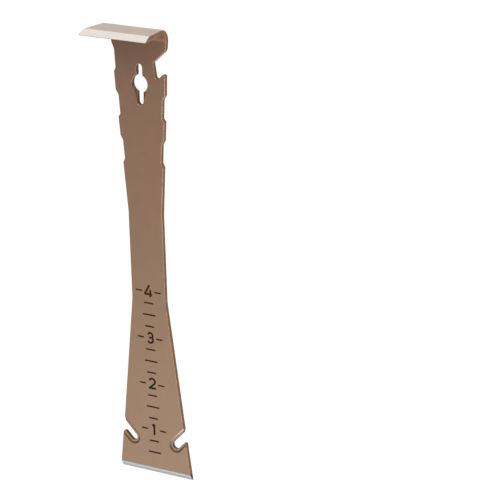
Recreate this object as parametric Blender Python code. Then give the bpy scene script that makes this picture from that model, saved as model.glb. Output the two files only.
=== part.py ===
"""Flat pry bar with a right-angle prying head.

One steel strip: a ground chisel foot with two slanted nail slots, a narrow waist,
three pairs of edge notches (the last one on the right is opened out into a hook),
a keyhole nail puller, and a head bent up by a quarter turn to a second ground edge.
A printed inch scale (ticks, dashes and numerals) lies on the upper face.

The bar lies on its flat back: +Z is up, out of the printed face, and +Y runs from
the chisel foot to the head. Lengths below are in millimetres. "s" is the distance
along the strip before it is bent, counted from the zero of the inch scale.
"""

import math

import bmesh
import bpy
from mathutils import Vector

MM = 0.001
INCH = 25.4

# ----------------------------------------------------------------- dimensions
NAME = "pry_bar"

THICKNESS = 2.5            # strip thickness
EDGE_ROUND = 0.3           # roll-over on the stamped edges
FOOT_S = 0.5               # chisel edge of the foot
FOOT_HALF_WIDTH = 22.0     # half-width at the zero of the scale
WAIST_HALF_WIDTH = 10.13
WAIST_S = (96.5, 143.5)    # start and end of the parallel waist
BEND_S = 233.4             # where the head starts to bend
BEND_RADIUS = 5.1          # inside radius of the bend
BEND_ANGLE = math.radians(90.0)
HEAD_HEIGHT = 25.15        # head's edge above the back face
HEAD_FLARE = 0.1255        # growth of the half-width per mm of strip
HEAD_ROOT = (16.1, 231.1)  # half-width where the head's sides begin
BEND_STEPS = 8

# right edge between waist and head: (half-width, s, corner radius)
NOTCHED_EDGE = [
    (11.99, 168.7, 0.5), (10.92, 170.8, 0.5), (11.58, 180.3, 0.8), (13.00, 182.9, 0.8),
    (13.72, 192.4, 0.5), (12.50, 193.9, 0.5), (13.13, 203.7, 0.8), (14.68, 206.2, 0.8),
]
LAST_NOTCH = [(15.24, 215.6, 0.5), (14.20, 217.6, 0.5), (14.68, 227.1, 0.8), (16.00, 230.3, 0.8)]
HOOK = [(15.24, 216.6, 1.1), (13.9, 216.9, 0.5), (10.6, 213.9, 0.8), (9.4, 214.9, 0.7),
        (8.35, 222.3, 0.45), (15.55, 228.6, 0.7), (16.15, 230.0, 0.6)]

# nail slots in the foot, on the right side; the left one is its mirror image
SLOT_END = (13.10, 19.10)  # centre of the round end
SLOT_RADIUS = 2.10
SLOT_LIP = [(18.15, 21.25, 0.35), (19.35, 21.20, 0.45), (19.60, 20.10, 0.5)]
SLOT_MOUTH = [(17.85, 26.95, 0.45), (18.26, 28.9, 0.5)]
RECESS_RADIUS = 4.10       # outer radius of the coined recess round a slot
RECESS_FLOOR = 3.20        # radius where its slope meets its floor
RECESS_DEPTH = 0.55

# keyhole nail puller
KEY_S = 210.8
KEY_RADIUS = 4.60
KEY_SLOT_HALF = 1.72
KEY_TOP = 221.05
KEY_BOTTOM = 199.80
KEY_LEAD_DEPTH = 0.6       # lead-in sunk round the lower key slot

# ground edges
FOOT_GRIND = 3.45          # length of the ground bevel on the foot
FOOT_GRIND_KNEE = (0.41, 0.34)  # knee of its two facets, as parts of length and depth
HEAD_GRIND = 4.85          # length of the ground bevel on the head
EDGE_LAND = 0.12           # blunt land left on each ground edge

# printed scale
INK_GAP = 0.02             # clearance between the ink film and the face
INK_FILM = 0.08            # thickness of the ink film
LINE = 0.72                # width of a tick or a dash
LONG_TICK = 3.85           # half-lengths
SHORT_TICK = 2.72
DASH = (3.82, 7.52)        # inner and outer end of the dashes beside a numeral
DIGIT_STROKE = 1.02


# ----------------------------------------------------------------- helpers
def rounded(points, steps=4):
    """Outline with each corner (x, y, radius) replaced by an arc."""
    out = []
    n = len(points)
    for i, (x, y, r) in enumerate(points):
        here = Vector((x, y))
        a = Vector(points[i - 1][:2]) - here
        b = Vector(points[(i + 1) % n][:2]) - here
        if r <= 0 or a.length < 1e-6 or b.length < 1e-6:
            out.append(here)
            continue
        angle = a.angle(b)
        if angle > math.radians(178):
            out.append(here)
            continue
        reach = min(r / math.tan(angle / 2), 0.47 * a.length, 0.47 * b.length)
        r = reach * math.tan(angle / 2)
        bis = (a.normalized() + b.normalized()).normalized()
        centre = here + bis * (r / math.sin(angle / 2))
        start = here + a.normalized() * reach - centre
        end = here + b.normalized() * reach - centre
        sweep = start.angle_signed(end)
        for k in range(steps + 1):
            t = -sweep * k / steps
            c, s = math.cos(t), math.sin(t)
            out.append(centre + Vector((start.x * c - start.y * s, start.x * s + start.y * c)))
    return out


def arc(cx, cy, r, a0, a1, steps):
    """Points on a circle from angle a0 to a1, in degrees."""
    return [Vector((cx + r * math.cos(math.radians(a0 + (a1 - a0) * k / steps)),
                    cy + r * math.sin(math.radians(a0 + (a1 - a0) * k / steps))))
            for k in range(steps + 1)]


def side_half_width(s):
    """Straight flank of the foot."""
    t = s / WAIST_S[0]
    return FOOT_HALF_WIDTH + (WAIST_HALF_WIDTH - FOOT_HALF_WIDTH) * t


def half_outline(last):
    """Right-hand edge from the foot to the head, ending in the given corners."""
    ex, es = SLOT_END
    d = math.sqrt(0.5)
    low = side_half_width(0.0)
    # the slot runs out at 45 degrees; its round end is an arc seen from the mouth
    lip = [(low, 0.0, 0.0)] + [(side_half_width(20.1), 20.1, 0.5)] + SLOT_LIP[:2][::-1]
    pts = rounded_open(lip + [(ex + SLOT_RADIUS * d, es - SLOT_RADIUS * d, 0.0)])
    pts += arc(ex, es, SLOT_RADIUS, -45, -225, 10)[1:-1]
    upper = [(ex - SLOT_RADIUS * d, es + SLOT_RADIUS * d, 0.0)] + SLOT_MOUTH
    upper += [(WAIST_HALF_WIDTH, WAIST_S[0], 25.0), (WAIST_HALF_WIDTH, WAIST_S[1], 25.0)]
    upper += NOTCHED_EDGE + last
    tip = BEND_S + (BEND_RADIUS + THICKNESS / 2) * BEND_ANGLE
    tip += HEAD_HEIGHT - THICKNESS - BEND_RADIUS
    upper += [(HEAD_ROOT[0] + HEAD_FLARE * (tip - HEAD_ROOT[1]), tip, 0.0)]
    return pts + rounded_open(upper)


def rounded_open(points):
    """Like rounded, with both ends of the chain kept as they are."""
    first, last = points[0], points[-1]
    chain = [(first[0], first[1], 0.0)] + list(points[1:-1]) + [(last[0], last[1], 0.0)]
    return rounded(chain, 4)


def curve_piece(name, outlines, z_low, z_high, round_=0.0, steps=1):
    """Flat outline (with holes) thickened between two heights, as a mesh object."""
    curve = bpy.data.curves.new(name, "CURVE")
    curve.dimensions = "2D"
    curve.fill_mode = "BOTH"
    curve.extrude = ((z_high - z_low) / 2 - round_) * MM
    if round_ > 0:
        curve.bevel_depth = round_ * MM
        curve.bevel_resolution = steps
        curve.offset = -round_ * MM
    for pts in outlines:
        spline = curve.splines.new("POLY")
        spline.points.add(len(pts) - 1)
        for p, q in zip(spline.points, pts):
            p.co = (q[0] * MM, q[1] * MM, 0.0, 1.0)
        spline.use_cyclic_u = True
    helper = bpy.data.objects.new(name + "_curve", curve)
    bpy.context.scene.collection.objects.link(helper)
    bpy.context.view_layer.update()
    depsgraph = bpy.context.evaluated_depsgraph_get()
    mesh = bpy.data.meshes.new_from_object(helper.evaluated_get(depsgraph))
    bpy.data.objects.remove(helper)
    bpy.data.curves.remove(curve)
    mesh.name = name
    bm = bmesh.new()
    bm.from_mesh(mesh)
    bmesh.ops.translate(bm, verts=bm.verts, vec=(0, 0, (z_low + z_high) / 2 * MM))
    bmesh.ops.remove_doubles(bm, verts=bm.verts, dist=1e-6)
    bmesh.ops.recalc_face_normals(bm, faces=bm.faces)
    bm.to_mesh(mesh)
    bm.free()
    piece = bpy.data.objects.new(name, mesh)
    return piece


def loft_cutter(name, rings):
    """Closed solid through rings of equal point counts, each (points, height)."""
    bm = bmesh.new()
    loops = [[bm.verts.new((p[0] * MM, p[1] * MM, z * MM)) for p in pts] for pts, z in rings]
    n = len(loops[0])
    for low, high in zip(loops, loops[1:]):
        for i in range(n):
            j = (i + 1) % n
            bm.faces.new((low[i], low[j], high[j], high[i]))
    bm.faces.new(loops[0][::-1])
    bm.faces.new(loops[-1])
    bmesh.ops.recalc_face_normals(bm, faces=bm.faces)
    mesh = bpy.data.meshes.new(name)
    bm.to_mesh(mesh)
    bm.free()
    return bpy.data.objects.new(name, mesh)


def prism_x(name, profile, half_length):
    """Outline in the (s, z) plane, extruded across the bar."""
    bm = bmesh.new()
    verts = [bm.verts.new((-half_length * MM, s * MM, z * MM)) for s, z in profile]
    face = bm.faces.new(verts)
    ret = bmesh.ops.extrude_face_region(bm, geom=[face])
    moved = [v for v in ret["geom"] if isinstance(v, bmesh.types.BMVert)]
    bmesh.ops.translate(bm, verts=moved, vec=(2 * half_length * MM, 0, 0))
    bmesh.ops.recalc_face_normals(bm, faces=bm.faces)
    mesh = bpy.data.meshes.new(name)
    bm.to_mesh(mesh)
    bm.free()
    return bpy.data.objects.new(name, mesh)


def apply_cut(target, cutter, operation="DIFFERENCE"):
    mod = target.modifiers.new("cut", "BOOLEAN")
    mod.operation = operation
    mod.solver = "EXACT"
    mod.object = cutter
    bpy.context.view_layer.update()
    depsgraph = bpy.context.evaluated_depsgraph_get()
    mesh = bpy.data.meshes.new_from_object(target.evaluated_get(depsgraph))
    target.modifiers.clear()
    old = target.data
    target.data = mesh
    bpy.data.meshes.remove(old)


def material(name, colour, roughness, metallic):
    mat = bpy.data.materials.new(name)
    mat.use_nodes = True
    bsdf = mat.node_tree.nodes["Principled BSDF"]
    bsdf.inputs["Base Color"].default_value = (*colour, 1.0)
    bsdf.inputs["Roughness"].default_value = roughness
    bsdf.inputs["Metallic"].default_value = metallic
    mat.diffuse_color = (*colour, 1.0)
    return mat


# ----------------------------------------------------------------- outlines
def keyhole_outline():
    """Round hole with a narrow slot above and below it."""
    h, r = KEY_SLOT_HALF, KEY_RADIUS
    shoulder = math.degrees(math.asin(h / r))
    pts = []
    pts += arc(0, KEY_S, r, -90 + shoulder, 90 - shoulder, 16)
    pts += arc(0, KEY_TOP - h, h, 0, 180, 8)
    pts += arc(0, KEY_S, r, 90 + shoulder, 270 - shoulder, 16)
    pts += arc(0, KEY_BOTTOM + h, h, 180, 360, 8)
    return pts


def capsule(x, s, radius, reach):
    """Round end at (x, s) and two straight sides leaving at 45 degrees."""
    d = math.sqrt(0.5)
    far = Vector((x + reach * d, s + reach * d))
    side = Vector((-d, d)) * radius
    return [far + side] + arc(x, s, radius, 135, 315, 14) + [far - side]


def mirrored(points):
    return [Vector((-p[0], p[1])) for p in points][::-1]


def bend(bm):
    """Turn the strip beyond BEND_S up round the bend's centre line."""
    mid = BEND_RADIUS + THICKNESS / 2
    centre_z = THICKNESS + BEND_RADIUS
    end_s = BEND_S + mid * BEND_ANGLE
    for k in range(BEND_STEPS + 1):
        s = BEND_S + (end_s - BEND_S) * k / BEND_STEPS
        geom = bm.verts[:] + bm.edges[:] + bm.faces[:]
        bmesh.ops.bisect_plane(bm, geom=geom, dist=1e-7, plane_co=(0, s * MM, 0), plane_no=(0, 1, 0))
    for v in bm.verts:
        s, z = v.co.y / MM, v.co.z / MM
        if s <= BEND_S:
            continue
        turn = min((s - BEND_S) / mid, BEND_ANGLE)
        beyond = max(s - end_s, 0.0)
        rho = centre_z - z
        v.co.y = (BEND_S + rho * math.sin(turn) + beyond * math.cos(turn)) * MM
        v.co.z = (centre_z - rho * math.cos(turn) + beyond * math.sin(turn)) * MM


# ----------------------------------------------------------------- build
def build():
    for obj in list(bpy.data.objects):
        bpy.data.objects.remove(obj)
    scene = bpy.context.scene
    parts = bpy.data.collections.new(NAME)
    cutters = bpy.data.collections.new(NAME + "_cutters")
    scene.collection.children.link(parts)
    scene.collection.children.link(cutters)

    def add_cutter(obj):
        cutters.objects.link(obj)
        obj.hide_render = True
        obj.display_type = "WIRE"
        return obj

    # the scale's middle sets the origin: half-way along the bar, on its back
    top = BEND_S + THICKNESS + BEND_RADIUS
    shift = Vector((0, -(FOOT_S + top) / 2 * MM, 0))

    # strip, stamped flat
    right = half_outline(HOOK)
    left = mirrored(half_outline(LAST_NOTCH))
    blank = curve_piece("bar", [right + left, keyhole_outline()], 0.0, THICKNESS, EDGE_ROUND, 1)
    parts.objects.link(blank)

    # coined recess round each nail slot
    for side in (1, -1):
        rings = []
        for radius, z in ((RECESS_FLOOR, THICKNESS - RECESS_DEPTH),
                          (RECESS_RADIUS, THICKNESS),
                          (RECESS_RADIUS + 0.4, THICKNESS + 0.5)):
            pts = capsule(*SLOT_END, radius, 14.0)
            rings.append((pts if side == 1 else [Vector((-p[0], p[1])) for p in pts], z))
        apply_cut(blank, add_cutter(loft_cutter("cut_recess_%s" % ("right" if side == 1 else "left"), rings)))

    # lead-in sunk round the lower key slot, widening from its round end towards the round hole
    def lead(w_low, w_high):
        end = arc(0, KEY_BOTTOM + KEY_SLOT_HALF, w_low, 180, 360, 8)
        return end + [Vector((w_high, KEY_S - 1.2)), Vector((-w_high, KEY_S - 1.2))]

    rings = [(lead(1.3, 3.1), THICKNESS - KEY_LEAD_DEPTH), (lead(2.0, 4.3), THICKNESS),
             (lead(2.3, 4.7), THICKNESS + 0.3)]
    apply_cut(blank, add_cutter(loft_cutter("cut_key_lead", rings)))

    # ground bevels
    k, d = FOOT_GRIND_KNEE
    foot_end = FOOT_S + FOOT_GRIND
    foot = [(foot_end, THICKNESS), (foot_end - k * FOOT_GRIND, THICKNESS * (1 - d)), (FOOT_S, EDGE_LAND),
            (FOOT_S, -1.0), (-3.0, -1.0), (-3.0, THICKNESS + 2.0), (foot_end, THICKNESS + 2.0)]
    apply_cut(blank, add_cutter(prism_x("cut_foot_grind", foot, 30.0)))
    tip = BEND_S + (BEND_RADIUS + THICKNESS / 2) * BEND_ANGLE + HEAD_HEIGHT - THICKNESS - BEND_RADIUS
    head = [(tip - HEAD_GRIND, 0.0), (tip, THICKNESS - EDGE_LAND), (tip + 0.5, THICKNESS - EDGE_LAND),
            (tip + 0.5, -2.0), (tip - HEAD_GRIND, -2.0)]
    apply_cut(blank, add_cutter(prism_x("cut_head_grind", head, 30.0)))

    # bend the head up
    bm = bmesh.new()
    bm.from_mesh(blank.data)
    bend(bm)
    bmesh.ops.remove_doubles(bm, verts=bm.verts, dist=2e-6)
    bmesh.ops.dissolve_degenerate(bm, edges=bm.edges, dist=2e-6)
    bmesh.ops.recalc_face_normals(bm, faces=bm.faces)
    bm.to_mesh(blank.data)
    bm.free()
    blank.data.transform(_translation(shift))
    blank.data.materials.clear()
    blank.data.materials.append(material("bronze_coated_steel", (0.235, 0.160, 0.115), 0.42, 0.55))
    blank.data.shade_smooth()
    blank.data.set_sharp_from_angle(angle=math.radians(30))

    # printed scale
    ink = material("scale_ink", (0.035, 0.022, 0.015), 0.6, 0.0)
    z0 = THICKNESS + INK_GAP
    z1 = z0 + INK_FILM

    def mark(name, outline):
        obj = curve_piece(name, [outline], z0, z1)
        finish_mark(obj)

    def finish_mark(obj):
        obj.data.transform(_translation(shift))
        obj.data.materials.clear()
        obj.data.materials.append(ink.copy())
        parts.objects.link(obj)

    def box(x0, x1, s, width=LINE):
        return [Vector((x0, s - width / 2)), Vector((x1, s - width / 2)),
                Vector((x1, s + width / 2)), Vector((x0, s + width / 2))]

    for quarter in range(2, 16):
        s = quarter * INCH / 4
        if quarter % 4 == 0:
            mark("dash_left_%din" % (quarter // 4), box(-DASH[1], -DASH[0], s))
            mark("dash_right_%din" % (quarter // 4), box(DASH[0], DASH[1], s))
        else:
            half = LONG_TICK if quarter % 2 == 0 else SHORT_TICK
            mark("tick_%d_%02din" % (quarter // 4, 25 * (quarter % 4)), box(-half, half, s))
    mark("dash_left_4in", box(-DASH[1], -DASH[0], 4 * INCH))
    mark("dash_right_4in", box(DASH[0], DASH[1], 4 * INCH))

    for digit in (1, 2, 3, 4):
        finish_mark(numeral(digit, digit * INCH, z0, z1, add_cutter))
    return parts


def _translation(vec):
    from mathutils import Matrix
    return Matrix.Translation(vec)


def stroke(points, width):
    """Outline of a pen stroke of constant width along a chain of points."""
    left, right = [], []
    n = len(points)
    for i, p in enumerate(points):
        a = (p - points[i - 1]).normalized() if i else (points[1] - p).normalized()
        b = (points[i + 1] - p).normalized() if i < n - 1 else a
        mitre = (a + b).normalized()
        normal = Vector((-mitre.y, mitre.x))
        reach = width / 2 / max(normal.dot(Vector((-a.y, a.x))), 0.4)
        left.append(p + normal * reach)
        right.append(p - normal * reach)
    return left + right[::-1]


def numeral(digit, s0, z0, z1, add_cutter):
    """Plain technical numeral, about 6.2 mm tall, centred on (0, s0)."""
    w = DIGIT_STROKE
    V = Vector
    if digit == 1:
        strokes = [[V((0.25, -2.95)), V((0.25, 3.15))], [V((-0.95, 2.15)), V((0.45, 2.95))]]
    elif digit == 2:
        top = arc(0.1, 1.35, 1.72, 158, -28, 12)
        strokes = [top + [V((-1.55, -2.28)), ], [V((-2.02, -2.24)), V((2.25, -2.24))]]
    elif digit == 3:
        upper = arc(0.10, 1.30, 1.50, 160, -62, 14)
        lower = arc(0.15, -1.00, 1.60, 62, -158, 14)
        strokes = [upper, lower, [V((-0.55, 0.22)), V((0.95, 0.22))]]
    else:
        strokes = [[V((0.78, 3.40)), V((-2.15, -1.55))], [V((-2.38, -1.48)), V((2.30, -1.48))],
                   [V((1.25, -2.85)), V((1.25, 0.90))]]
    name = "numeral_%d" % digit
    body = None
    for i, chain in enumerate(strokes):
        outline = [V((p.x, p.y + s0)) for p in stroke(chain, w)]
        if body is None:
            body = curve_piece(name, [outline], z0, z1)
            bpy.context.scene.collection.objects.link(body)
        else:
            other = add_cutter(curve_piece("join_%d_%d" % (digit, i), [outline], z0, z1))
            apply_cut(body, other, "UNION")
    bm = bmesh.new()
    bm.from_mesh(body.data)
    bmesh.ops.remove_doubles(bm, verts=bm.verts, dist=2e-6)
    bmesh.ops.dissolve_limit(bm, angle_limit=0.002, verts=bm.verts, edges=bm.edges)
    bmesh.ops.triangulate(bm, faces=bm.faces)
    bmesh.ops.recalc_face_normals(bm, faces=bm.faces)
    bm.to_mesh(body.data)
    bm.free()
    bpy.context.scene.collection.objects.unlink(body)
    return body


build()
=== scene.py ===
"""Looks of the flat pry bar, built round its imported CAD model.

The bar's steel is made again here as a fine mesh on the CAD dimensions, with rounded
stamped edges, softened coining round the nail slots and ground bare-steel bevels. The
printed inch scale stays as the CAD made it and gets its ink here. Metres, +Z up.
"""

import math

import bmesh
import bpy
from mathutils import Matrix, Vector


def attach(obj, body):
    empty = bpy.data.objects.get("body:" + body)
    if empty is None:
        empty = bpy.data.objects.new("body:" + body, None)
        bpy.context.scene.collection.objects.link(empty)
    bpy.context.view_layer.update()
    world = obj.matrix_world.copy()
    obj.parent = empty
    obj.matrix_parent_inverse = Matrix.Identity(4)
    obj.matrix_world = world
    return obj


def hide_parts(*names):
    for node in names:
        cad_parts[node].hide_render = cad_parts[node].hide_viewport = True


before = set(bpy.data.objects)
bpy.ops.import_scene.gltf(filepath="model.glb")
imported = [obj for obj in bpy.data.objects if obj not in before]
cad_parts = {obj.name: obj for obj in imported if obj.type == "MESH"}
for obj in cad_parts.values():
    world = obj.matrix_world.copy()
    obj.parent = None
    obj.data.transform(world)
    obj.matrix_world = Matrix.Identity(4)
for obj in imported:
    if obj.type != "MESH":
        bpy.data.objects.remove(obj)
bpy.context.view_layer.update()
MM = 0.001

# ------------------------------------------------------------------ dimensions, mm
THICKNESS = 2.5
EDGE_ROUND = 0.3
FOOT_S = 0.5
FOOT_HALF_WIDTH = 22.0
WAIST_HALF_WIDTH = 10.13
WAIST_S = (96.5, 143.5)
BEND_S = 233.4
BEND_RADIUS = 5.1
BEND_ANGLE = math.radians(90.0)
HEAD_HEIGHT = 25.15
HEAD_FLARE = 0.1255
HEAD_ROOT = (16.1, 231.1)
BEND_STEPS = 28

NOTCHED_EDGE = [
    (11.99, 168.7, 0.5), (10.92, 170.8, 0.5), (11.58, 180.3, 0.8), (13.00, 182.9, 0.8),
    (13.72, 192.4, 0.5), (12.50, 193.9, 0.5), (13.13, 203.7, 0.8), (14.68, 206.2, 0.8),
]
LAST_NOTCH = [(15.24, 215.6, 0.5), (14.20, 217.6, 0.5), (14.68, 227.1, 0.8), (16.00, 230.3, 0.8)]
HOOK = [(15.24, 216.6, 1.1), (13.9, 216.9, 0.5), (10.6, 213.9, 0.8), (9.4, 214.9, 0.7),
        (8.35, 222.3, 0.45), (15.55, 228.6, 0.7), (16.15, 230.0, 0.6)]

SLOT_END = (13.10, 19.10)
SLOT_RADIUS = 2.10
SLOT_LIP = [(18.15, 21.25, 0.35), (19.35, 21.20, 0.45), (19.60, 20.10, 0.5)]
SLOT_MOUTH = [(17.85, 26.95, 0.45), (18.26, 28.9, 0.5)]
RECESS_RADIUS = 3.87
RECESS_FLOOR = 3.15
RECESS_DEPTH = 0.55
RECESS_TOP_ROUND = 0.75     # the coining's upper edge rolls over with this radius
RECESS_ROOT_ROUND = 0.25    # and meets the floor with this one

KEY_S = 210.8
KEY_RADIUS = 4.60
KEY_SLOT_HALF = 1.72
KEY_TOP = 221.05
KEY_BOTTOM = 199.80
KEY_LEAD_DEPTH = 0.6

FOOT_GRIND = 3.45
FOOT_GRIND_KNEE = (0.41, 0.34)
HEAD_GRIND = 4.85
EDGE_LAND = 0.12

TOP_Y = BEND_S + THICKNESS + BEND_RADIUS
SHIFT = -(FOOT_S + TOP_Y) / 2
TIP_S = BEND_S + (BEND_RADIUS + THICKNESS / 2) * BEND_ANGLE + HEAD_HEIGHT - THICKNESS - BEND_RADIUS


# ------------------------------------------------------------------ outline helpers
def rounded(points, steps):
    """Outline with each corner (x, y, radius) replaced by an arc."""
    out = []
    n = len(points)
    for i, (x, y, r) in enumerate(points):
        here = Vector((x, y))
        a = Vector(points[i - 1][:2]) - here
        b = Vector(points[(i + 1) % n][:2]) - here
        if r <= 0 or a.length < 1e-6 or b.length < 1e-6:
            out.append(here)
            continue
        angle = a.angle(b)
        if angle > math.radians(178):
            out.append(here)
            continue
        reach = min(r / math.tan(angle / 2), 0.47 * a.length, 0.47 * b.length)
        r = reach * math.tan(angle / 2)
        bis = (a.normalized() + b.normalized()).normalized()
        centre = here + bis * (r / math.sin(angle / 2))
        start = here + a.normalized() * reach - centre
        end = here + b.normalized() * reach - centre
        sweep = start.angle_signed(end)
        for k in range(steps + 1):
            t = -sweep * k / steps
            c, s = math.cos(t), math.sin(t)
            out.append(centre + Vector((start.x * c - start.y * s, start.x * s + start.y * c)))
    return out


def rounded_open(points, steps=8):
    """Like rounded, with both ends of the chain kept as they are."""
    first, last = points[0], points[-1]
    chain = [(first[0], first[1], 0.0)] + list(points[1:-1]) + [(last[0], last[1], 0.0)]
    return rounded(chain, steps)


def arc(cx, cy, r, a0, a1, steps):
    return [Vector((cx + r * math.cos(math.radians(a0 + (a1 - a0) * k / steps)),
                    cy + r * math.sin(math.radians(a0 + (a1 - a0) * k / steps))))
            for k in range(steps + 1)]


def side_half_width(s):
    t = s / WAIST_S[0]
    return FOOT_HALF_WIDTH + (WAIST_HALF_WIDTH - FOOT_HALF_WIDTH) * t


def half_outline(last):
    """Right-hand edge from the foot to the head, ending in the given corners."""
    ex, es = SLOT_END
    d = math.sqrt(0.5)
    lip = [(side_half_width(0.0), 0.0, 0.0), (side_half_width(20.1), 20.1, 0.5)] + SLOT_LIP[:2][::-1]
    pts = rounded_open(lip + [(ex + SLOT_RADIUS * d, es - SLOT_RADIUS * d, 0.0)])
    pts += arc(ex, es, SLOT_RADIUS, -45, -225, 28)[1:-1]
    upper = [(ex - SLOT_RADIUS * d, es + SLOT_RADIUS * d, 0.0)] + SLOT_MOUTH
    upper += [(WAIST_HALF_WIDTH, WAIST_S[0], 25.0), (WAIST_HALF_WIDTH, WAIST_S[1], 25.0)]
    upper += NOTCHED_EDGE + last
    upper += [(HEAD_ROOT[0] + HEAD_FLARE * (TIP_S - HEAD_ROOT[1]), TIP_S, 0.0)]
    return pts + rounded_open(upper)


def keyhole_outline():
    h, r = KEY_SLOT_HALF, KEY_RADIUS
    shoulder = math.degrees(math.asin(h / r))
    pts = []
    pts += arc(0, KEY_S, r, -90 + shoulder, 90 - shoulder, 40)
    pts += arc(0, KEY_TOP - h, h, 0, 180, 20)
    pts += arc(0, KEY_S, r, 90 + shoulder, 270 - shoulder, 40)
    pts += arc(0, KEY_BOTTOM + h, h, 180, 360, 20)
    return pts


def capsule(x, s, radius, reach):
    """Round end at (x, s) and two straight sides leaving at 45 degrees."""
    d = math.sqrt(0.5)
    far = Vector((x + reach * d, s + reach * d))
    side = Vector((-d, d)) * radius
    return [far + side] + arc(x, s, radius, 135, 315, 36) + [far - side]


def soft_step(inner, outer, depth, root, top):
    """(offset, height) rings from a sunk floor up a slope to the face, both corners rounded."""
    slope = math.atan2(depth, outer - inner)
    lean = math.tan(slope / 2)
    rings = []
    for k in range(5):        # fillet at the floor
        t = slope * k / 4
        rings.append((inner - root * lean + root * math.sin(t), -depth + root * (1 - math.cos(t))))
    for k in range(6):        # roll-over at the face, stopping just short of level
        t = slope * (1 - k / 5.4)
        rings.append((outer + top * lean - top * math.sin(t), -top * (1 - math.cos(t))))
    last = rings[-1]
    rings.append((last[0] + 0.05, 0.01))
    rings.append((last[0] + 0.12, 0.5))
    return rings


# ------------------------------------------------------------------ mesh helpers
def curve_mesh(name, outlines, z_low, z_high, round_, steps):
    """Flat outline (with holes) thickened between two heights, edges rounded."""
    curve = bpy.data.curves.new(name, "CURVE")
    curve.dimensions = "2D"
    curve.fill_mode = "BOTH"
    curve.extrude = ((z_high - z_low) / 2 - round_) * MM
    curve.bevel_depth = round_ * MM
    curve.bevel_resolution = steps
    curve.offset = -round_ * MM
    for pts in outlines:
        spline = curve.splines.new("POLY")
        spline.points.add(len(pts) - 1)
        for p, q in zip(spline.points, pts):
            p.co = (q[0] * MM, q[1] * MM, 0.0, 1.0)
        spline.use_cyclic_u = True
    helper = bpy.data.objects.new(name + "_curve", curve)
    bpy.context.scene.collection.objects.link(helper)
    bpy.context.view_layer.update()
    mesh = bpy.data.meshes.new_from_object(helper.evaluated_get(bpy.context.evaluated_depsgraph_get()))
    bpy.data.objects.remove(helper)
    bpy.data.curves.remove(curve)
    mesh.name = name
    bm = bmesh.new()
    bm.from_mesh(mesh)
    bmesh.ops.translate(bm, verts=bm.verts, vec=(0, 0, (z_low + z_high) / 2 * MM))
    bmesh.ops.remove_doubles(bm, verts=bm.verts, dist=1e-6)
    bmesh.ops.recalc_face_normals(bm, faces=bm.faces)
    bm.to_mesh(mesh)
    bm.free()
    return mesh


def solid(name, bm):
    bmesh.ops.recalc_face_normals(bm, faces=bm.faces)
    mesh = bpy.data.meshes.new(name)
    bm.to_mesh(mesh)
    bm.free()
    obj = bpy.data.objects.new(name, mesh)
    bpy.context.scene.collection.objects.link(obj)
    return obj


def loft(name, rings):
    """Closed solid through rings of equal point counts, each (points, height)."""
    bm = bmesh.new()
    loops = [[bm.verts.new((p[0] * MM, p[1] * MM, z * MM)) for p in pts] for pts, z in rings]
    n = len(loops[0])
    for low, high in zip(loops, loops[1:]):
        for i in range(n):
            j = (i + 1) % n
            bm.faces.new((low[i], low[j], high[j], high[i]))
    bm.faces.new(loops[0][::-1])
    bm.faces.new(loops[-1])
    return solid(name, bm)


def prism_x(name, profile, half_length):
    """Outline in the (s, z) plane, extruded across the bar."""
    bm = bmesh.new()
    face = bm.faces.new([bm.verts.new((-half_length * MM, s * MM, z * MM)) for s, z in profile])
    ret = bmesh.ops.extrude_face_region(bm, geom=[face])
    moved = [v for v in ret["geom"] if isinstance(v, bmesh.types.BMVert)]
    bmesh.ops.translate(bm, verts=moved, vec=(2 * half_length * MM, 0, 0))
    return solid(name, bm)


def cut(target, cutter):
    mod = target.modifiers.new("cut", "BOOLEAN")
    mod.operation = "DIFFERENCE"
    mod.solver = "EXACT"
    mod.object = cutter
    bpy.context.view_layer.update()
    mesh = bpy.data.meshes.new_from_object(target.evaluated_get(bpy.context.evaluated_depsgraph_get()))
    target.modifiers.clear()
    old = target.data
    target.data = mesh
    bpy.data.meshes.remove(old)
    gone = cutter.data
    bpy.data.objects.remove(cutter)
    bpy.data.meshes.remove(gone)


def level_normals(mesh):
    """Corner normals weighted by the size of the flat region that each face is part of, so
    that level faces stay level right up to their rolled edges."""
    bm = bmesh.new()
    bm.from_mesh(mesh)
    same = math.cos(math.radians(0.3))
    region, sizes = {}, []
    for seed in bm.faces:
        if seed in region:
            continue
        region[seed] = len(sizes)
        stack, size = [seed], 0.0
        while stack:
            face = stack.pop()
            size += face.calc_area()
            for edge in face.edges:
                for other in edge.link_faces:
                    if other not in region and other.normal.dot(seed.normal) > same:
                        region[other] = len(sizes)
                        stack.append(other)
        sizes.append(size)
    normals = []
    for face in bm.faces:
        for corner in face.loops:
            vert, fan, stack = corner.vert, {face}, [face]
            while stack:
                here = stack.pop()
                for edge in here.edges:
                    if edge.smooth and vert in edge.verts:
                        for other in edge.link_faces:
                            if other not in fan:
                                fan.add(other)
                                stack.append(other)
            total = Vector((0.0, 0.0, 0.0))
            for other in fan:
                angle = next(c.calc_angle() for c in other.loops if c.vert == vert)
                total += other.normal * (sizes[region[other]] * max(angle, 0.01))
            normals.append(total.normalized())
    bm.free()
    mesh.normals_split_custom_set(normals)


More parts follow.
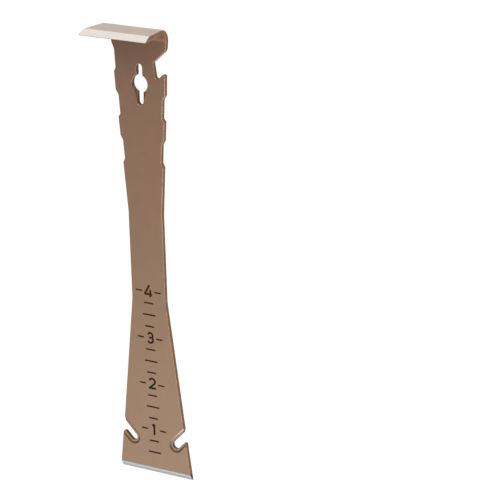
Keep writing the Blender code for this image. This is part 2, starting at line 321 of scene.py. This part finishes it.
# ------------------------------------------------------------------ node helpers
class Nodes:
    """Short-hand for building one material's node tree."""

    def __init__(self, name):
        self.mat = bpy.data.materials.new(name)
        self.mat.use_nodes = True
        self.tree = self.mat.node_tree
        self.bsdf = self.tree.nodes["Principled BSDF"]

    def add(self, kind, inputs=None, **props):
        node = self.tree.nodes.new(kind)
        for key, value in props.items():
            setattr(node, key, value)
        for key, value in (inputs or {}).items():
            if isinstance(value, bpy.types.NodeSocket):
                self.tree.links.new(value, node.inputs[key])
            else:
                node.inputs[key].default_value = value
        return node

    def math(self, op, a, b=0.0, clamp=False):
        return self.add("ShaderNodeMath", {0: a, 1: b}, operation=op, use_clamp=clamp).outputs[0]

    def remap(self, value, low, high, to_low=0.0, to_high=1.0, smooth=False):
        return self.add("ShaderNodeMapRange", {0: value, 1: low, 2: high, 3: to_low, 4: to_high},
                        interpolation_type="SMOOTHSTEP" if smooth else "LINEAR").outputs[0]

    def noise(self, vector, scale, detail=2.0, rough=0.5):
        return self.add("ShaderNodeTexNoise", {"Vector": vector, "Scale": scale, "Detail": detail,
                                               "Roughness": rough}).outputs["Fac"]

    def stretch(self, vector, factors):
        return self.add("ShaderNodeVectorMath", {0: vector, 1: factors}, operation="MULTIPLY").outputs[0]

    def mix(self, factor, a, b, blend="MIX"):
        node = self.add("ShaderNodeMix", data_type="RGBA", blend_type=blend)
        for socket, value in ((node.inputs[0], factor), (node.inputs[6], a), (node.inputs[7], b)):
            if isinstance(value, bpy.types.NodeSocket):
                self.tree.links.new(value, socket)
            else:
                socket.default_value = value
        return node.outputs[2]

    def bump(self, height, distance, strength=1.0, normal=None):
        inputs = {"Height": height, "Distance": distance, "Strength": strength}
        if normal is not None:
            inputs["Normal"] = normal
        return self.add("ShaderNodeBump", inputs).outputs[0]

    def attribute(self, name, output="Fac"):
        return self.add("ShaderNodeAttribute", attribute_name=name).outputs[output]

    def link(self, value, socket):
        self.tree.links.new(value, self.bsdf.inputs[socket])

    def set(self, **values):
        for key, value in values.items():
            self.bsdf.inputs[key.replace("_", " ")].default_value = value


def coat_material():
    """Satin metallic bronze powder coat over stamped steel."""
    n = Nodes("bronze_powder_coat")
    co = n.attribute("flat_co", "Vector")
    edge = n.attribute("edge")
    wall = n.attribute("wall")

    # colour: base, slow drift in tone, fine metallic flake
    drift = n.noise(co, 22.0, 2.0)
    cloud = n.noise(co, 120.0, 3.0, 0.55)
    flake = n.add("ShaderNodeTexVoronoi", {"Vector": co, "Scale": 4200.0}, feature="F1")
    grain = n.noise(co, 1900.0, 2.0, 0.6)
    sparkle = n.add("ShaderNodeSeparateColor", {0: flake.outputs["Color"]}).outputs[0]
    part = n.add("ShaderNodeSeparateXYZ", {0: co}).outputs
    # the colour shifts slightly in hue from the foot to the head, and again on the head's top
    length_tint = n.mix(n.remap(part[1], 95.0 * MM, 185.0 * MM, smooth=True), (*COAT_FOOT, 1), (*COAT_HEAD, 1))
    length_tint = n.mix(n.remap(part[1], 236.0 * MM, 244.0 * MM, smooth=True), length_tint, (*COAT_TOP, 1))
    base = n.mix(1.0, length_tint, n.mix(n.remap(drift, 0.3, 0.7), (*DRIFT_COOL, 1), (*DRIFT_WARM, 1)), "MULTIPLY")
    tone = n.math("ADD", n.remap(cloud, 0.25, 0.75, 0.96, 1.04), n.remap(grain, 0.25, 0.75, -0.035, 0.035))
    tone = n.math("ADD", tone, n.remap(sparkle, 0.0, 1.0, -0.045, 0.045))
    # painted shade: the face is a few percent darker along the waist
    waist = n.math("MULTIPLY", n.remap(part[1], 45.0 * MM, 90.0 * MM, smooth=True),
                   n.remap(part[1], 150.0 * MM, 110.0 * MM, smooth=True))
    tone = n.math("SUBTRACT", tone, n.math("MULTIPLY", waist, 0.045))

    # painted shade on the sheared walls, darkest on the walls of the openings; the walls also get
    # less coat, more roughness and more metal. A painted highlight on the rounded edges, which get less coat,
    # less roughness and more metal; the walls just behind the foot's ground edge take the openings' dark tone
    foot_wall_dark = n.remap(part[1], (FOOT_S + FOOT_GRIND + 0.9) * MM, (FOOT_S + FOOT_GRIND - 0.1) * MM)
    inner = n.math("MAXIMUM", n.attribute("inner"), n.math("MULTIPLY", n.math("MULTIPLY", foot_wall_dark, wall), 0.75))
    # painted highlight along the rounded edges, patchy with noise
    edge_highlight = n.math("MULTIPLY", edge, n.remap(n.noise(co, 700.0, 3.0, 0.65), 0.40, 0.70, 0.8, 1.0))
    wall_shade_and_gloss = n.math("MULTIPLY", wall, n.remap(n.noise(co, 260.0, 3.0, 0.6), 0.3, 0.7, 0.75, 1.0))
    # painted shade: the walls take a darker tone, the openings' walls a darker one still
    wall_shaded = n.mix(wall_shade_and_gloss, base, (*WALL_SHADE_TONE, 1))
    wall_shaded = n.mix(inner, wall_shaded, (*OPENING_SHADE_TONE, 1))
    rimmed = n.mix(edge_highlight, wall_shaded, (*EDGE_HIGHLIGHT_TONE, 1))
    # painted shade: the hollow under the head and the bend are darker and warmer, more so on the left, and the
    # coined slopes darker; both also get less coat
    head_shadow = n.math("MULTIPLY", n.remap(part[1], (BEND_S - 22.0) * MM, (BEND_S + 1.0) * MM, smooth=True),
                    n.remap(part[2], 1.2 * MM, 2.4 * MM))
    head_shadow = n.math("MULTIPLY", head_shadow, n.remap(part[1], (BEND_S + 18.0) * MM, (BEND_S + 8.0) * MM, smooth=True))
    bend = n.math("MULTIPLY", head_shadow, n.remap(part[1], (BEND_S - 1.0) * MM, (BEND_S + 3.0) * MM, smooth=True))
    recess_shade = n.attribute("recess_shade")
    sunk = n.math("MULTIPLY", recess_shade, 0.42)
    # painted shadow of the head, deeper towards the left
    head_shadow_depth = n.math("MULTIPLY", head_shadow, n.remap(part[0], 13.0 * MM, -13.0 * MM, 0.09, 0.30))
    tone = n.math("MULTIPLY", tone, n.math("SUBTRACT", 1.0, head_shadow_depth))
    tone = n.math("MULTIPLY", tone, n.math("SUBTRACT", 1.0, sunk))
    warmth = n.math("ADD", n.math("MULTIPLY", head_shadow, 0.18), n.math("MULTIPLY", bend, 0.5))
    warmed = n.mix(warmth, rimmed, (*HEAD_SHADOW_TONE, 1))
    warmed = n.mix(n.math("MULTIPLY", recess_shade, 0.75), warmed, (*RECESS_SHADE_TONE, 1))
    # a thin dark line on the coat along its border with the head's bevel
    bared = (TIP_S - HEAD_GRIND) * MM
    bevel_border_line = n.math("MULTIPLY", n.remap(part[1], bared - 0.00045, bared - 0.0001), n.remap(part[2], 0.0004, 0.0001))
    tone = n.math("MULTIPLY", tone, n.math("SUBTRACT", 1.0, n.math("MULTIPLY", bevel_border_line, 0.5)))
    toned = n.add("ShaderNodeVectorMath", {0: warmed, "Scale": tone}, operation="SCALE").outputs[0]
    n.link(toned, "Base Color")
    rough = n.math("ADD", n.remap(grain, 0.25, 0.75, COAT_ROUGH - 0.05, COAT_ROUGH + 0.05),
                   n.math("MULTIPLY", sparkle, 0.06))
    rough = n.math("ADD", rough, n.math("MULTIPLY", wall_shade_and_gloss, 0.12))
    n.link(n.math("SUBTRACT", rough, n.math("MULTIPLY", edge_highlight, 0.12), clamp=True), "Roughness")
    thin = n.math("ADD", n.math("MULTIPLY", wall_shade_and_gloss, 0.85), n.math("MULTIPLY", edge_highlight, 0.75))
    thin = n.math("ADD", thin, n.math("ADD", n.math("MULTIPLY", head_shadow, 0.2), n.math("MULTIPLY", bend, 0.35)))
    thin = n.math("ADD", thin, n.math("MULTIPLY", n.math("MAXIMUM", recess_shade, bevel_border_line), 0.5))
    n.link(n.math("SUBTRACT", COAT_CLEAR, thin, clamp=True), "Coat Weight")
    metal = n.math("ADD", COAT_METAL, n.math("MULTIPLY", n.math("MAXIMUM", wall_shade_and_gloss, edge_highlight), 0.36))
    n.link(metal, "Metallic")
    n.set(Coat_Roughness=0.24, Coat_IOR=1.5, Specular_IOR_Level=0.5)

    # relief: orange peel, flake grain, and the torn grain of the sheared walls under the coat
    peel = n.noise(co, 620.0, 1.5, 0.45)
    shear = n.noise(n.stretch(co, (1.0, 1.0, 0.12)), 1500.0, 2.0, 0.6)
    height = n.math("ADD", n.math("MULTIPLY", peel, 0.8), n.math("MULTIPLY", grain, 0.22))
    height = n.math("ADD", height, n.math("MULTIPLY", sparkle, 0.05))
    height = n.math("ADD", height, n.math("MULTIPLY", n.math("MULTIPLY", shear, wall), 2.2))
    n.link(n.bump(height, 0.000018), "Normal")
    return n.mat


def steel_material():
    """Bare ground steel: fine marks of the belt across each bevel, faintly mottled."""
    n = Nodes("ground_steel")
    co = n.attribute("flat_co", "Vector")
    lines = n.noise(n.stretch(co, (1.0, 0.05, 0.05)), 5200.0, 3.0, 0.7)
    broad = n.noise(n.stretch(co, (1.0, 0.25, 0.25)), 900.0, 2.0, 0.5)
    mottle = n.noise(co, 1500.0, 3.0, 0.6)
    tone = n.math("ADD", n.remap(lines, 0.25, 0.75, 0.93, 1.06), n.remap(broad, 0.3, 0.7, -0.03, 0.03))
    tone = n.math("ADD", tone, n.remap(mottle, 0.3, 0.7, -0.05, 0.04))
    warm = n.mix(n.remap(n.noise(co, 330.0, 2.0), 0.35, 0.65), (*STEEL, 1), (*STEEL_WARM, 1))
    # the foot's facets take a neutral grey, and its lower facet a darker, bluer grey as painted shade
    part = n.add("ShaderNodeSeparateXYZ", {0: co}).outputs
    foot = n.math("LESS_THAN", part[1], 0.02)
    low = n.math("MULTIPLY", n.math("LESS_THAN", part[2], THICKNESS * (1 - FOOT_GRIND_KNEE[1]) * MM), foot)
    warm = n.mix(n.math("MULTIPLY", foot, 0.8), warm, (*STEEL_FOOT, 1))
    warm = n.mix(low, warm, (*STEEL_LOW_FACET_SHADE, 1))
    # painted shadow: a dark line along the head's ground tip
    lip = n.remap(part[1], (TIP_S - 0.34) * MM, (TIP_S - 0.16) * MM)
    warm = n.mix(lip, warm, (*STEEL_TIP_SHADOW, 1))
    colour = n.add("ShaderNodeVectorMath", {0: warm, "Scale": tone}, operation="SCALE").outputs[0]
    n.link(colour, "Base Color")
    n.link(n.remap(lines, 0.25, 0.75, STEEL_ROUGH - 0.05, STEEL_ROUGH + 0.09), "Roughness")
    n.set(Metallic=1.0)
    n.link(n.bump(n.math("ADD", lines, n.math("MULTIPLY", mottle, 0.5)), 0.000006), "Normal")
    return n.mat


def ink_material(name, dark, faint):
    """Matt dark brown ink, a little uneven where it keys to the powder coat."""
    n = Nodes(name)
    co = n.add("ShaderNodeTexCoord").outputs["Object"]
    grain = n.noise(co, 2600.0, 3.0, 0.6)
    body = n.noise(co, 340.0, 2.0, 0.5)
    thin = n.math("MULTIPLY", n.remap(grain, 0.50, 0.80), n.remap(body, 0.35, 0.75, 0.3, 1.0))
    n.link(n.mix(thin, (*dark, 1), (*faint, 1)), "Base Color")
    n.link(n.remap(grain, 0.25, 0.75, 0.62, 0.85), "Roughness")
    n.set(Metallic=0.0, Specular_IOR_Level=0.04)
    n.link(n.bump(grain, 0.000012), "Normal")
    return n.mat


def floor_material():
    n = Nodes("studio_sweep")
    co = n.add("ShaderNodeTexCoord").outputs["Object"]
    fleck = n.noise(co, 60.0, 4.0, 0.6)
    n.link(n.mix(n.remap(fleck, 0.3, 0.7), (*[v * 0.995 for v in FLOOR], 1), (*FLOOR, 1)), "Base Color")
    n.set(Roughness=0.75, Specular_IOR_Level=0.2)
    n.set(Emission_Color=(1, 1, 1, 1), Emission_Strength=FLOOR_GLOW)
    return n.mat


# ------------------------------------------------------------------ finish values
COAT_FOOT = (0.202, 0.1085, 0.0505)
COAT_HEAD = (0.202, 0.101, 0.055)
COAT_TOP = (0.197, 0.102, 0.044)
DRIFT_WARM = (1.030, 0.992, 0.955)
DRIFT_COOL = (0.970, 1.008, 1.045)
COAT_ROUGH = 0.36
COAT_METAL = 0.60
COAT_CLEAR = 0.85
# painted shade tones for the walls, the openings, the hollow under the head and the coined slopes, then the
# painted edge highlight
WALL_SHADE_TONE = (0.175, 0.088, 0.040)
OPENING_SHADE_TONE = (0.040, 0.020, 0.010)
HEAD_SHADOW_TONE = (0.235, 0.103, 0.036)
RECESS_SHADE_TONE = (0.130, 0.052, 0.018)
EDGE_HIGHLIGHT_TONE = (0.480, 0.292, 0.170)
STEEL = (0.625, 0.585, 0.545)
STEEL_WARM = (0.640, 0.565, 0.515)
STEEL_FOOT = (0.600, 0.600, 0.605)
# painted shade on the foot's lower facet and painted shadow along the head's tip
STEEL_LOW_FACET_SHADE = (0.350, 0.362, 0.388)
STEEL_TIP_SHADOW = (0.170, 0.160, 0.152)
STEEL_ROUGH = 0.30
INK_DARK = (0.019, 0.0085, 0.003)
INK_THIN = (0.052, 0.022, 0.007)
FINE_DARK = (0.027, 0.0075, 0.002)
FINE_THIN = (0.074, 0.021, 0.005)
FLOOR = (0.10, 0.10, 0.0995)
FLOOR_GLOW = 0.93
WORLD_GLOW = 0.40

# name, elevation and azimuth in degrees, diameter in metres, watts
SOFTBOXES = [
    ("key_foot_side", 50, 235, 0.75, 2.34),
    ("key_left", 50, 200, 0.75, 0.50),
    ("fill_low_left", 28, 225, 0.75, 0.72),
    ("back_right", 28, 65, 0.75, 16.5),
    ("back_middle", 28, 110, 0.75, 6.0),
    ("back_low", 10, 90, 0.75, 9.5),
    ("back_left_low", 10, 135, 0.75, 3.5),
    ("rim_right", 38, 345, 0.35, 6.5),
    ("rim_neck", 31, 325, 0.35, 7.0),
    ("rim_foot", 21, 273, 0.90, 10.0),
    ("rim_notch", 20, 305, 0.50, 3.0),
]


# ------------------------------------------------------------------ the bar
def opening_shade(x, right, s):
    """Painted shade on the walls round an opening: most in the left nail slot, then the keyhole, the right nail
    slot and the hook, none outside.
    """
    if s < 31.0 and x < side_half_width(s) - 0.7:
        return 0.45 if right else 0.8
    if not right and 1.9 < x < 4.5 and KEY_S - 4.5 < s < KEY_S - 1.3:
        return 0.0      # no painted shade here, where the keyhole's lower left shows bright
    if x < 6.0 and KEY_BOTTOM - 1.0 < s < KEY_TOP + 1.0:
        return 0.68
    if right and 213.4 < s < 228.4 and 7.0 < x < (14.4 if s < 218.0 else 15.3):
        return 0.12
    return 0.0


def outer_side(co):
    """Whether a point lies on the bar's outside edge rather than round an opening."""
    x, s = abs(co.x) / MM, co.y / MM
    return not (s < 31.0 and x < side_half_width(s) - 0.5 or x < 6.5 and KEY_BOTTOM - 1.5 < s < KEY_TOP)


def make_bar():
    right = half_outline(HOOK)
    left = [Vector((-p[0], p[1])) for p in half_outline(LAST_NOTCH)][::-1]
    mesh = curve_mesh("pry_bar_steel", [right + left, keyhole_outline()], 0.0, THICKNESS, EDGE_ROUND, 4)
    bar = bpy.data.objects.new("pry_bar_steel", mesh)
    bpy.context.scene.collection.objects.link(bar)

    for side in (1, -1):
        rings = []
        for radius, z in soft_step(RECESS_FLOOR, RECESS_RADIUS, RECESS_DEPTH, RECESS_ROOT_ROUND, RECESS_TOP_ROUND):
            pts = capsule(*SLOT_END, radius, 14.0)
            rings.append(([Vector((side * p[0], p[1])) for p in pts], THICKNESS + z))
        cut(bar, loft("cut_recess", rings))

    # lead-in sunk round the lower key slot, widening from its round end towards the round hole
    rings = []
    for out, z in soft_step(0.0, 1.0, KEY_LEAD_DEPTH, 0.2, 0.35):
        foot, mouth = 1.3 + 0.7 * out, 3.1 + 1.2 * out
        end = arc(0, KEY_BOTTOM + KEY_SLOT_HALF, foot, 180, 360, 20)
        rings.append((end + [Vector((mouth, KEY_S - 1.2)), Vector((-mouth, KEY_S - 1.2))], THICKNESS + z))
    cut(bar, loft("cut_key_lead", rings))

    # ground bevels
    k, d = FOOT_GRIND_KNEE
    foot_end = FOOT_S + FOOT_GRIND
    foot = [(foot_end, THICKNESS), (foot_end - k * FOOT_GRIND, THICKNESS * (1 - d)), (FOOT_S, EDGE_LAND),
            (FOOT_S, -1.0), (-3.0, -1.0), (-3.0, THICKNESS + 2.0), (foot_end, THICKNESS + 2.0)]
    cut(bar, prism_x("cut_foot_grind", foot, 30.0))
    head = [(TIP_S - HEAD_GRIND, 0.0), (TIP_S, THICKNESS - EDGE_LAND), (TIP_S + 0.5, THICKNESS - EDGE_LAND),
            (TIP_S + 0.5, -2.0), (TIP_S - HEAD_GRIND, -2.0)]
    cut(bar, prism_x("cut_head_grind", head, 30.0))

    bm = bmesh.new()
    bm.from_mesh(bar.data)
    bmesh.ops.remove_doubles(bm, verts=bm.verts, dist=1.5e-6)
    bmesh.ops.dissolve_degenerate(bm, edges=bm.edges, dist=1.5e-6)
    bmesh.ops.recalc_face_normals(bm, faces=bm.faces)
    bm.normal_update()

    # which faces were ground bare
    for f in bm.faces:
        s, n = f.calc_center_median().y / MM, f.normal
        foot_face = s < foot_end and n.y < -0.3 and n.z > -0.1 and abs(n.x) < 0.2
        head_face = s > TIP_S - HEAD_GRIND and n.y > 0.2 and n.z < 0.1 and abs(n.x) < 0.2
        f.material_index = 1 if foot_face or head_face else 0

    # lengths of strip across the bend, then its place in the unbent strip for the textures
    mid = BEND_RADIUS + THICKNESS / 2
    end_s = BEND_S + mid * BEND_ANGLE
    for i in range(BEND_STEPS + 1):
        s = BEND_S + (end_s - BEND_S) * i / BEND_STEPS
        geom = bm.verts[:] + bm.edges[:] + bm.faces[:]
        bmesh.ops.bisect_plane(bm, geom=geom, dist=1e-7, plane_co=(0, s * MM, 0), plane_no=(0, 1, 0))
    bm.normal_update()
    flat = bm.verts.layers.float_vector.new("flat_co")
    edge = bm.verts.layers.float.new("edge")
    recess_shade = bm.verts.layers.float.new("recess_shade")
    wall = bm.loops.layers.float.new("wall")
    inner = bm.loops.layers.float.new("inner")
    for v in bm.verts:
        v[flat] = v.co.copy()
        z = v.co.z / MM
        faces = [f for f in v.link_faces if f.material_index == 0]
        tilt = max((1 - abs(f.normal.z) for f in faces), default=0.0)
        upright = bool(faces) and all(abs(f.normal.z) < 0.35 for f in faces)
        outer = 0.01 < z < EDGE_ROUND - 0.01 or THICKNESS - EDGE_ROUND + 0.01 < z < THICKNESS - 0.01
        # painted highlight on the outside edges, growing towards the head; the left side's outside edges get
        # little highlight and painted shade instead
        outside = outer_side(v.co)
        shaded_left_edge = outside and v.co.x < -8.0 * MM
        highlight_strength = 0.3 + 0.7 * min(max((v.co.y / MM - 120.0) / 45.0, 0.0), 1.0) if outside else 1.0
        v[edge] = (0.2 if shaded_left_edge else highlight_strength) if outer and tilt > 0.3 else 0.0
        sunk = z < THICKNESS - 0.06 and not upright and any(0.3 < f.normal.z < 0.97 for f in faces)
        # painted shade on the coined slopes: full where they face the head, less where they face the foot on the
        # right, least there on the left
        shade = 1.0 if v.normal.y > 0.05 else 0.85 if v.co.x > 0 else 0.35
        v[recess_shade] = shade if sunk and z > THICKNESS - KEY_LEAD_DEPTH - 0.02 and not outside else 0.0
        opening = opening_shade(abs(v.co.x) / MM, v.co.x > 0, v.co.y / MM)
        for corner in v.link_loops:
            # painted shade: on the left side's outside edges the rounded faces count as walls too
            sheared = upright or abs(corner.face.normal.z) < (0.93 if shaded_left_edge else 0.35)
            corner[wall] = 1.0 if sheared else 0.0
            corner[inner] = opening if sheared else 0.0

    centre_z = THICKNESS + BEND_RADIUS
    for v in bm.verts:
        s, z = v.co.y / MM, v.co.z / MM
        if s <= BEND_S:
            continue
        turn = min((s - BEND_S) / mid, BEND_ANGLE)
        beyond = max(s - end_s, 0.0)
        rho = centre_z - z
        v.co.y = (BEND_S + rho * math.sin(turn) + beyond * math.cos(turn)) * MM
        v.co.z = (centre_z - rho * math.cos(turn) + beyond * math.sin(turn)) * MM
    bmesh.ops.translate(bm, verts=bm.verts, vec=(0, SHIFT * MM, 0))
    bmesh.ops.recalc_face_normals(bm, faces=bm.faces)
    bm.to_mesh(bar.data)
    bm.free()
    ground = [p.material_index for p in bar.data.polygons]
    bar.data.materials.clear()
    bar.data.materials.append(coat_material())
    bar.data.materials.append(steel_material())
    bar.data.polygons.foreach_set("material_index", ground)
    bar.data.shade_smooth()
    bar.data.set_sharp_from_angle(angle=math.radians(26))
    level_normals(bar.data)
    return bar


bar = make_bar()
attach(bar, "root")
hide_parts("bar")

# the fine strokes took less ink than the numerals and are browner
bold = ink_material("scale_ink_print", INK_DARK, INK_THIN)
fine = ink_material("scale_ink_fine", FINE_DARK, FINE_THIN)
for name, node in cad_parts.items():
    if name != "bar":
        node.data.materials.clear()
        node.data.materials.append(bold if name.startswith("numeral") else fine)

# ------------------------------------------------------------------ stage
bpy.ops.mesh.primitive_grid_add(x_subdivisions=8, y_subdivisions=8, size=8.0, location=(0, 0, -0.00005))
floor = bpy.context.object
floor.name = "studio_floor"
floor.data.materials.append(floor_material())

world = bpy.data.worlds.new("soft_studio")
bpy.context.scene.world = world
world.use_nodes = True
world.node_tree.nodes["Background"].inputs["Color"].default_value = (1.0, 1.0, 1.0, 1.0)
world.node_tree.nodes["Background"].inputs["Strength"].default_value = WORLD_GLOW


def softbox(name, elevation, azimuth, diameter, power, colour=(1, 1, 1)):
    """Round diffuser on a 1.5 m dome round the bar, facing its middle."""
    el, az = math.radians(elevation), math.radians(azimuth)
    place = Vector((math.cos(el) * math.cos(az), math.cos(el) * math.sin(az), math.sin(el))) * 1.5
    light = bpy.data.lights.new(name, "AREA")
    light.shape = "DISK"
    light.size = diameter
    light.energy = power
    light.color = colour
    obj = bpy.data.objects.new(name, light)
    bpy.context.scene.collection.objects.link(obj)
    obj.location = place
    obj.rotation_euler = (-place).to_track_quat("-Z", "Y").to_euler()


for spec in SOFTBOXES:
    softbox(*spec)

cam = bpy.data.cameras.new("camera")
cam.sensor_width = 36.0
cam.lens = 183.177
cam.clip_start, cam.clip_end = 0.05, 30.0
camera = bpy.data.objects.new("camera", cam)
bpy.context.scene.collection.objects.link(camera)
view = Matrix(((0.85064237, -0.14663968, 0.50488054), (-0.02679283, 0.94697596, 0.32018539),
               (-0.52506161, -0.28589043, 0.80160898)))
camera.matrix_world = Matrix.Translation((0.695042, 0.414196, 1.007702)) @ view.to_4x4()
bpy.context.scene.camera = camera
bpy.context.scene.view_settings.view_transform = "Standard"
